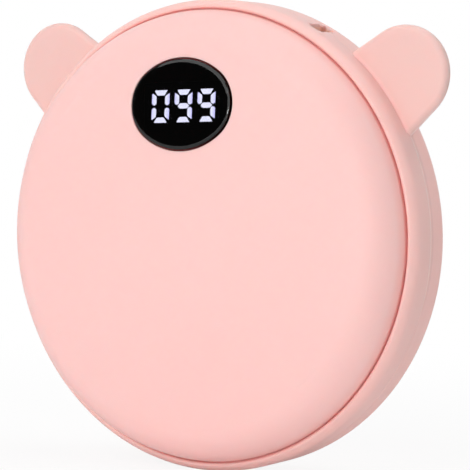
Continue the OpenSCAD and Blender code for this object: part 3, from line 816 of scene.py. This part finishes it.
def copyOf(piece, name, matrix):
    only(piece)
    bpy.ops.object.duplicate()
    twin = bpy.context.object
    twin.name = name
    twin.data.name = name
    setDown(twin, matrix)
    return twin


# one copy at each place, in exchange for the piece itself
def copies(piece, places):
    made = [copyOf(piece, piece.name + "Copy", place) for place in places]
    bpy.data.objects.remove(piece, do_unlink=True)
    return made


def rod(name, radius, low, high, around=48):
    bpy.ops.object.select_all(action="DESELECT")
    place, depth = (0, 0, (low + high) / 2), high - low
    bpy.ops.mesh.primitive_cylinder_add(vertices=around, radius=radius, depth=depth, location=place)
    piece = bpy.context.object
    piece.name = name
    setDown(piece, piece.matrix_world.copy())
    return piece


def slab(name, width, length, low, high, corner=0, steps=8):
    bpy.ops.object.select_all(action="DESELECT")
    place = (0, 0, (low + high) / 2)
    bpy.ops.mesh.primitive_cube_add(size=1, location=place, scale=(width, length, high - low))
    piece = bpy.context.object
    piece.name = name
    setDown(piece, piece.matrix_world.copy())
    if corner > 0:
        half = (high - low) / 2
        pick(piece, "edges", lambda e: abs(e.verts[0].co.z - e.verts[1].co.z) > half)
        roundEdges(corner, steps)
    clean(piece)
    return piece


# slab with half-round ends, which stop just short of meeting
def stadium(name, width, length, low, high, steps):
    return slab(name, width, length, low, high, length / 2 - mergeGap, steps)


def ringSection(name, rear):
    rim = body["radius"]
    seam = body["rearSeam"] if rear else body["frontSeam"]
    lipRound, edge = body["lipRound"], body["lipEdge"]
    centreX = rim - lipRound
    centreZ = body["halfDepth"] - lipRound
    edgeX = body["lipRadius"] + edge
    edgeZ = centreZ + math.sqrt((lipRound - edge) ** 2 - (edgeX - centreX) ** 2)
    sweep = math.degrees(math.atan2(edgeZ - centreZ, edgeX - centreX))
    section = Section(name, rim - seam, 0)
    section.arc(rim - seam, seam, 90, body["seamSteps"])
    section.line(rim, centreZ)
    section.arc(centreX, centreZ, sweep, body["lipRoundSteps"])
    section.arc(edgeX, edgeZ, 180 - sweep, body["lipEdgeSteps"])
    section.line(body["lipRadius"], body["grooveFloor"])
    section.line(body["grooveIn"], body["grooveFloor"])
    section.line(body["grooveIn"], body["ledgeTop"])
    section.line(body["ledgeRadius"], body["ledgeTop"])
    section.line(body["ledgeRadius"], body["ledgeFoot"])
    section.line(body["innerRadius"], body["ledgeFoot"])
    # the rear shell has a tongue, and the front shell the groove that takes it
    tongueOut = body["innerRadius"] + body["tongueWidth"]
    if rear:
        section.line(body["innerRadius"], -body["tongueHeight"])
        section.line(tongueOut, -body["tongueHeight"])
        section.line(tongueOut, 0)
    else:
        grooveTop = body["tongueHeight"] + body["fitGap"]
        grooveOut = tongueOut + body["fitGap"]
        section.line(body["innerRadius"], grooveTop)
        section.line(grooveOut, grooveTop)
        section.line(grooveOut, 0)
    section.line(rim - seam, 0)
    return section.around(body["aroundSteps"])


ears = {
    "angle": 50.75,
    "radius": 8.5,
    "centre": 47.2,
    "rootHalf": 9.5,
    "rootAt": 39.1,
    "halfThick": 1.2,
    "edge": 1.08,
    "edgeSteps": 8,
    "seam": 0.08,
    "seamSteps": 2,
    "aroundSteps": 72,
    "keptFrom": 41.6,
    "rootCut": 5,
}


# half an ear that points up, flat side on the middle plane
def halfEar(name):
    reach = ears["centre"] - ears["rootAt"]
    span = math.hypot(ears["rootHalf"], reach)
    # where the flank touches the round end, seen from the ear's centre
    tangent = math.acos(ears["radius"] / span) - math.atan2(reach, ears["rootHalf"])
    startX = ears["radius"] * math.cos(tangent)
    startZ = ears["centre"] + ears["radius"] * math.sin(tangent)
    outline = Section(name, ears["rootHalf"], ears["rootAt"])
    outline.line(startX, startZ)
    outline.arc(0, ears["centre"], 180 - 2 * math.degrees(tangent), ears["aroundSteps"])
    outline.line(-ears["rootHalf"], ears["rootAt"])
    outline.fill()
    extrude(y=-ears["halfThick"])
    piece = outline.piece
    clean(piece)
    front = closeBy - ears["halfThick"]
    root = ears["rootAt"] + closeBy
    pick(piece, "edges", lambda e: all(v.co.y < front for v in e.verts) and middle(e).z > root)
    roundEdges(ears["edge"], ears["edgeSteps"])
    pick(piece, "edges", lambda e: all(v.co.y > -closeBy for v in e.verts) and middle(e).z > root)
    roundEdges(ears["seam"], ears["seamSteps"])
    setDown(piece, fromSection)
    cut = ears["rootCut"]
    combine(piece, rod("earRoot", ears["keptFrom"], -cut, cut, body["aroundSteps"]), "DIFFERENCE")
    return piece


# slot for a wrist strap, with a pin across it
strapSlot = {
    "angle": 27.4,
    "width": 3.5,
    "length": 5.8,
    "corner": 1.3,
    "depth": 3.6,
    "ramp": 1.8,
    "wall": 1.0,
    "pocketTop": -1,
    "lip": 0.3,
    "pinRadius": 0.65,
    "pinDepth": 1.5,
    "pinReach": 3.7,
}
socketHole = {"angle": 180, "width": 9.24, "height": 3.56, "depth": 4.0, "lip": 0.2, "endSteps": 16}
buttonHole = {"angle": 212, "width": 9.3, "height": 4.3, "depth": 4.0, "lip": 0.2, "endSteps": 16}

# posts for the screws of the shells and of the main board
bosses = {
    "angles": (0, 68, 116, 244, 292),
    "circle": 36.9,
    "radius": 2.4,
    "top": 3.9,
    "bore": 1.05,
    "boreRise": 3,
    "sink": 1.9,
    "sinkFloor": 3.4,
}
boardBosses = {
    "turn": 19,
    "circle": 36.0,
    "radius": 2.2,
    "top": -2.83,
    "deep": 3.2,
    "bore": 0.85,
    "boreFrom": 1,
    "blind": 0.6,
}
bossPlaces = [onCircle(bosses["circle"], angle) for angle in bosses["angles"]]
boardAngles = (180 - boardBosses["turn"], 180 + boardBosses["turn"])
boardPlaces = [onCircle(boardBosses["circle"], angle) for angle in boardAngles]


def rimCutters():
    width, length, depth = strapSlot["width"], strapSlot["length"], strapSlot["depth"]
    slot = slab("slotCutter", width, length, -depth, over, strapSlot["corner"])
    # one end of the slot is a ramp that guides the cord in
    pick(slot, "verts", lambda v: v.co.z < 0)
    narrowed = (1 - strapSlot["ramp"] / width, 1, 1)
    bpy.ops.transform.resize(value=narrowed, center_override=(width / 2, 0, 0))
    setDown(slot, onRim(strapSlot["angle"]))
    cutters = [slot]
    for name, hole in (("socketCutter", socketHole), ("buttonCutter", buttonHole)):
        width, height, depth = hole["width"], hole["height"], hole["depth"]
        cutter = stadium(name, width, height, -depth, over, hole["endSteps"])
        setDown(cutter, onRim(hole["angle"]))
        cutters.append(cutter)
    return join(cutters)


def pinCutter():
    piece = rod("pinCutter", strapSlot["pinRadius"], -strapSlot["pinReach"], strapSlot["pinReach"])
    setDown(piece, onRim(strapSlot["angle"], -strapSlot["pinDepth"]) @ turned(90, "X"))
    return piece


# the edge of a hole in the rim, away from the seam
def softenMouth(piece, mouth):
    away = onRim(mouth["angle"]).inverted()
    lowest = body["rearSeam"] + 2 * closeBy
    innermost = body["radius"] - 3 * closeBy

    def nearMouth(point):
        spot = away @ point
        onWall = point.z >= lowest and point.xy.length >= innermost
        return onWall and abs(spot.x) < mouth["width"] and spot.z > -over

    def mouthEdge(e):
        return all(nearMouth(v.co) for v in e.verts)

    print("mouth edges:", soften(piece, mouth["lip"], mouthEdge))


# block round the strap slot, inside the ring
def slotPocket():
    wall = strapSlot["wall"]
    width, length = strapSlot["width"] + 2 * wall, strapSlot["length"] + 2 * wall
    pocket = slab("pocket", width, length, -strapSlot["depth"] - wall, strapSlot["pocketTop"])
    setDown(pocket, onRim(strapSlot["angle"]))
    combine(pocket, slab("otherHalf", 2 * farOff, 2 * farOff, -farOff, 0), "DIFFERENCE")
    return pocket


def shell(name, rear):
    piece = ringSection(name, rear)
    left = halfEar("earLeft")
    right = copyOf(left, "earRight", turned(-ears["angle"]))
    setDown(left, turned(ears["angle"]))
    parts = [left, right, slotPocket()]
    parts += copies(rod("boss", bosses["radius"], 0, bosses["top"]), bossPlaces)
    if rear:
        post = rod("boardBoss", boardBosses["radius"], 0, boardBosses["deep"])
        low = moved(z=-boardBosses["top"])
        parts += copies(post, [low @ place for place in boardPlaces])
    combine(piece, join(parts), "UNION")
    combine(piece, rimCutters(), "DIFFERENCE")
    clean(piece, 2 * mergeGap)
    for mouth in (strapSlot, socketHole, buttonHole):
        softenMouth(piece, mouth)
    combine(piece, pinCutter(), "DIFFERENCE")
    boreTop = bosses["top"] + bosses["boreRise"] if rear else body["ledgeFoot"]
    bores = copies(rod("bore", bosses["bore"], -over, boreTop), bossPlaces)
    if rear:
        pilotTop = -boardBosses["top"] + boardBosses["deep"] - boardBosses["blind"]
        pilot = rod("pilot", boardBosses["bore"], boardBosses["boreFrom"], pilotTop)
        bores += copies(pilot, boardPlaces)
    combine(piece, join(bores), "DIFFERENCE")
    if rear:
        sink = rod("sink", bosses["sink"], bosses["sinkFloor"], body["ledgeTop"] + over)
        combine(piece, join(copies(sink, bossPlaces)), "DIFFERENCE")
    setDown(piece, upright @ mirrored if rear else upright)
    clean(piece, fineGap)
    return piece


def smooth(piece, sharpFrom):
    only(piece)
    bpy.ops.object.shade_smooth_by_angle(angle=math.radians(sharpFrom))
    weigh = piece.modifiers.new("weigh", "WEIGHTED_NORMAL")
    weigh.keep_sharp = True
    bpy.ops.object.modifier_apply(modifier=weigh.name)


def finishPiece(piece, bodyName, material, *nodes, sharpFrom=30):
    setDown(piece, Matrix.Scale(mm, 4))
    smooth(piece, sharpFrom)
    assign(piece, material)
    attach(piece, bodyName)
    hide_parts(*nodes)


# a second material on the faces that the test names
def paint(piece, material, test):
    piece.data.materials.append(material)
    found = pick(piece, "faces", test)
    piece.active_material_index = len(piece.data.materials) - 1
    bpy.ops.object.material_slot_assign()
    only(piece)
    return found


frontShell = shell("frontShell", rear=False)
finishPiece(frontShell, "case", ringPink, "front_shell")
print("front shell", len(frontShell.data.polygons))
rearShell = shell("rearShell", rear=True)
finishPiece(rearShell, "case", ringPink, "rear_shell")
print("rear shell", len(rearShell.data.polygons))

# the domed plates: a crown arc that runs into a rolled edge
plates = {
    "radius": 40.72,
    "foot": 4.8,
    "edgeHeight": 0.3,
    "footRound": 0.12,
    "footSteps": 3,
    "rollRadius": 7.0,
    "rollSteps": 28,
    "crownFall": 1.5,
    "crownSteps": 26,
    "insideSteps": 12,
    "top": 13.6,
    "thick": 1.6,
    "frontTurn": 2.8,
    "restRise": 0.292,
    "restCut": (60, 5),
}
hooks = {
    "angles": (45, 135, 225, 315),
    "width": 5.0,
    "inner": 33.0,
    "outer": 34.4,
    "barb": 0.7,
    "barbHeight": 1.1,
    "barbTop": 3.1,
}
posts = {"radius": 1.6, "x": 10.4, "bore": 0.75, "boreTop": -1.9}
window = {
    "halfWidth": 10.6,
    "halfHeight": 8.35,
    "endShare": 0.862,
    "fromEdge": 17.07,
    "seat": 1.0,
    "rimRound": 0.16,
    "rimDeep": 0.4,
    "rimBand": 0.5,
    "slack": 0.1,
    "openingDeep": 3,
    "displayWidth": 16.6,
    "displayHeight": 8.6,
    "displayDeep": 3.0,
}
rollCentre = plates["radius"] - plates["rollRadius"]
rollHeight = plates["foot"] + plates["edgeHeight"]
crownFall = plates["crownFall"]
crownRadius = plates["rollRadius"] + (rollCentre ** 2 + crownFall ** 2) / (2 * crownFall)
crownCentre = plates["top"] - crownRadius
windowUp = plates["radius"] - window["fromEdge"]
windowTilt = math.degrees(math.asin(windowUp / crownRadius))
onWindow = (turned(plates["frontTurn"]) @ moved(z=crownCentre)
            @ turned(-windowTilt, "X") @ moved(z=crownRadius))
shiftX, shiftY = digits["shift"]


def dome(name, rise):
    radius, roll, thick = plates["radius"], plates["rollRadius"], plates["thick"]
    foot, footRound = plates["foot"], plates["footRound"]
    height, low = rollHeight + rise, crownCentre + rise
    crownSweep = math.degrees(math.asin(rollCentre / (crownRadius - roll)))
    section = Section(name, radius - footRound, foot)
    section.arc(radius - footRound, foot + footRound, 90, plates["footSteps"])
    section.line(radius, height)
    section.arc(rollCentre, height, 90 - crownSweep, plates["rollSteps"])
    section.arc(0, low, crownSweep, plates["crownSteps"])
    section.line(0, plates["top"] + rise - thick)
    section.arc(0, low, -crownSweep, plates["insideSteps"])
    section.arc(rollCentre, height, crownSweep - 90, plates["insideSteps"])
    section.line(radius - thick, foot)
    section.line(radius - footRound, foot)
    return section.around(body["aroundSteps"])


# the window's oval, four arcs that run into each other, as a block
def ovalBlock(name, low, high, grow=0.0, steps=28):
    halfWidth, halfHeight = window["halfWidth"], window["halfHeight"]
    endRadius = halfHeight * window["endShare"]
    endCentre = halfWidth - endRadius
    flank = (endCentre ** 2 / (halfHeight - endRadius) + endRadius + halfHeight) / 2
    flankCentre = flank - halfHeight
    turn = math.degrees(math.atan2(flankCentre, endCentre))
    outline = Section(name, 0, flank + grow - flankCentre)
    outline.arc(0, -flankCentre, turn - 90, steps // 2)
    outline.arc(endCentre, 0, -2 * turn, steps * 2)
    outline.arc(0, flankCentre, 2 * (turn - 90), steps)
    outline.arc(-endCentre, 0, -2 * turn, steps * 2)
    outline.arc(0, -flankCentre, turn - 90, steps // 2)
    outline.fill()
    piece = outline.piece
    setDown(piece, fromSection)
    setDown(piece, moved(z=low))
    edit(piece, "FACE")
    bpy.ops.mesh.select_all(action="SELECT")
    extrude(z=high - low)
    clean(piece)
    return piece


# finger that snaps under the ledge, with its barb
def plateHook(name, top):
    inner, outer, barbTop = hooks["inner"], hooks["outer"], hooks["barbTop"]
    tip, foot = outer + hooks["barb"], barbTop - hooks["barbHeight"]
    corners = [(inner, foot), (outer, foot), (tip, barbTop - hooks["barbHeight"] / 3), (tip, barbTop),
               (outer, barbTop), (outer, top), (inner, top)]
    return prism(name, corners, -hooks["width"] / 2, hooks["width"] / 2)


def plate(name, rise=0.0):
    piece = dome(name, rise)
    hook = plateHook("hook", plates["top"] - crownFall + rise)
    hookPlaces = [turned(90 - angle) for angle in hooks["angles"]]
    combine(piece, join(copies(hook, hookPlaces)), "UNION")
    return piece


# with recess and opening for the display, and two posts for its board
def frontPlateShape():
    piece = plate("frontPlate")
    setDown(piece, turned(plates["frontTurn"]))
    postPlaces = [onWindow @ moved(side * posts["x"] + shiftX, shiftY) for side in (-1, 1)]
    postFoot = -window["seat"] - window["displayDeep"]
    post = rod("post", posts["radius"], postFoot, -plates["thick"] / 2)
    combine(piece, join(copies(post, postPlaces)), "UNION")
    recess = ovalBlock("recess", -window["seat"], over)
    setDown(recess, onWindow)
    combine(piece, recess, "DIFFERENCE")
    width, height = window["displayWidth"], window["displayHeight"]
    opening = slab("opening", width, height, -window["openingDeep"], over)
    setDown(opening, onWindow @ moved(shiftX, shiftY))
    combine(piece, opening, "DIFFERENCE")
    bore = rod("postBore", posts["bore"], postFoot - over, posts["boreTop"])
    combine(piece, join(copies(bore, postPlaces)), "DIFFERENCE")
    clean(piece)
    away = onWindow.inverted()
    outermost = window["halfWidth"] + window["rimBand"]
    innermost = window["halfHeight"] - window["rimBand"]

    def onRecessRim(point):
        spot = away @ point
        inside = abs(spot.x) <= outermost and abs(spot.y) <= outermost
        return inside and spot.z >= -window["rimDeep"] and spot.xy.length >= innermost

    def rimEdge(e):
        return all(onRecessRim(v.co) for v in e.verts)

    print("window rim edges:", soften(piece, window["rimRound"], rimEdge))
    setDown(piece, upright)
    clean(piece, fineGap)
    return piece


# raised a little, so that its flat keeps the height of the crown
def rearPlateShape():
    piece = plate("rearPlate", plates["restRise"])
    width, depth = plates["restCut"]
    cutter = slab("restCutter", width, width, plates["top"], plates["top"] + depth)
    combine(piece, cutter, "DIFFERENCE")
    setDown(piece, upright @ mirrored)
    clean(piece, fineGap)
    return piece


frontPlate = frontPlateShape()
finishPiece(frontPlate, "case", platePink, "front_plate")
windowFrame = (upright @ onWindow).inverted()
crownSpot = upright @ Vector((0, 0, crownCentre))


# walls and floor of the window recess, below the crown of the plate, painted dark red for the shadow
# in the gap round the lens
def inRecess(f):
    spot = middle(f) / mm
    inWindow = windowFrame @ spot
    slack = window["slack"]
    below = (spot - crownSpot).length < crownRadius - window["rimRound"] - 2 * closeBy
    within = inWindow.xy.length < window["halfWidth"] + slack
    return below and within and inWindow.z > -window["seat"] - slack


print("recess faces:", paint(frontPlate, recessShadowPink, inRecess))
rearPlate = rearPlateShape()
finishPiece(rearPlate, "case", platePink, "rear_plate")
print("plates", len(frontPlate.data.polygons), len(rearPlate.data.polygons))

# the smoked lens over the number display; each step goes inwards and up
lens = {
    "grow": -0.3,
    "under": -0.95,
    "wallTop": -0.06,
    "steps": ((0.03, 0.14), (0.12, 0.065), (0.24, 0.07), (0.3, 0.045)),
    "facingUp": 0.9,
    "sharpFrom": 12,
}


def lensShape():
    piece = ovalBlock("windowLens", lens["under"], lens["wallTop"], lens["grow"])
    face = lens["wallTop"] - closeBy
    pick(piece, "faces", lambda f: f.normal.z > lens["facingUp"] and middle(f).z > face)
    for inward, up in lens["steps"]:
        bpy.ops.mesh.inset(thickness=inward, depth=up)
    only(piece)
    setDown(piece, upright @ onWindow)
    clean(piece, fineGap)
    return piece


windowLens = lensShape()
finishPiece(windowLens, "case", lensBlack, "display_lens", sharpFrom=lens["sharpFrom"])
print("lens", len(windowLens.data.polygons))


# bars are named a to g, clockwise from the top one, and g lies in the middle
def barCorners(name):
    halfWidth, halfHeight = digits["width"] / 2, digits["height"] / 2
    bar, gap, cut = digits["bar"], digits["gap"], digits["cut"]
    inner, half = halfWidth - bar - gap, bar / 2
    if name in "ad":
        low, out = halfHeight - bar, halfWidth - cut
        corners = [(out, halfHeight), (inner, low), (-inner, low), (-out, halfHeight)]
    elif name == "g":
        tip = halfWidth - half - gap
        corners = [(tip, 0), (inner, half), (-inner, half),
                   (-tip, 0), (-inner, -half), (inner, -half)]
    else:
        corners = [(halfWidth, halfHeight - cut), (halfWidth, half), (halfWidth - half, gap),
                   (halfWidth - bar, half), (halfWidth - bar, halfHeight - bar - gap)]
    acrossSign = -1 if name in "ef" else 1
    upSign = -1 if name in "cde" else 1
    lean = math.tan(math.radians(digits["lean"]))
    return [(acrossSign * x + upSign * y * lean, upSign * y) for x, y in corners]


def barShape(name):
    piece = prism("bar", barCorners(name), 0, digits["deep"])
    half = digits["deep"] / 2
    pick(piece, "edges", lambda e: abs(e.verts[0].co.y - e.verts[1].co.y) > half)
    roundEdges(digits["round"], digits["roundSteps"])
    setDown(piece, fromSection)
    clean(piece)
    return piece


def digitShape():
    bars = {name: barShape(name) for name in "abcdefg"}
    height = digits["rise"] - window["seat"]
    pieces = []
    for place, shown in enumerate(digits["shown"]):
        spot = moved((place - 1) * digits["pitch"] + shiftX, shiftY, height)
        pieces += [copyOf(bars[name], "litDigits", spot) for name in digits["lit"][shown]]
    for bar in bars.values():
        bpy.data.objects.remove(bar, do_unlink=True)
    whole = join(pieces)
    whole.name = "litDigits"
    setDown(whole, upright @ onWindow)
    return whole


litDigits = digitShape()
finishPiece(litDigits, "case", litBars, "lit_bars")
print("digits", len(litDigits.data.polygons))

# power button: cap with a soft edge, and the flange that keeps it in
button = {
    "width": 9.0,
    "height": 4.0,
    "proud": 0.6,
    "edge": 0.4,
    "edgeSteps": 5,
    "edgeFrom": 60,
    "endSteps": 18,
    "back": -3.15,
    "flangeTop": -2.15,
    "flangeGrow": 1.2,
    "flangeGrowHeight": 0.7,
    "flangeRadius": 40.45,
    "faceHalf": 6,
}


# stadium on the rim, cut to a round face of the given radius
def roundFaced(name, width, height, high, radius):
    piece = stadium(name, width, height, button["back"], high + over, button["endSteps"])
    setDown(piece, onRim(buttonHole["angle"]))
    face = rod("roundFace", radius, -button["faceHalf"], button["faceHalf"], body["aroundSteps"])
    combine(piece, face, "INTERSECT")
    return piece


def buttonShape():
    width, height = button["width"], button["height"]
    faceRadius = body["radius"] + button["proud"]
    cap = roundFaced("powerButton", width, height, button["proud"], faceRadius)
    clean(cap)
    top = faceRadius - 2 * closeBy
    soften(cap, button["edge"], lambda e: all(v.co.xy.length > top for v in e.verts),
           button["edgeSteps"], button["edgeFrom"])
    width += 2 * button["flangeGrow"]
    height += 2 * button["flangeGrowHeight"]
    flange = roundFaced("flange", width, height, button["flangeTop"], button["flangeRadius"])
    combine(cap, flange, "UNION")
    setDown(cap, upright)
    clean(cap, fineGap)
    return cap


powerButton = buttonShape()
finishPiece(powerButton, "button", buttonPink, "power_button")
print("button", len(powerButton.data.polygons))
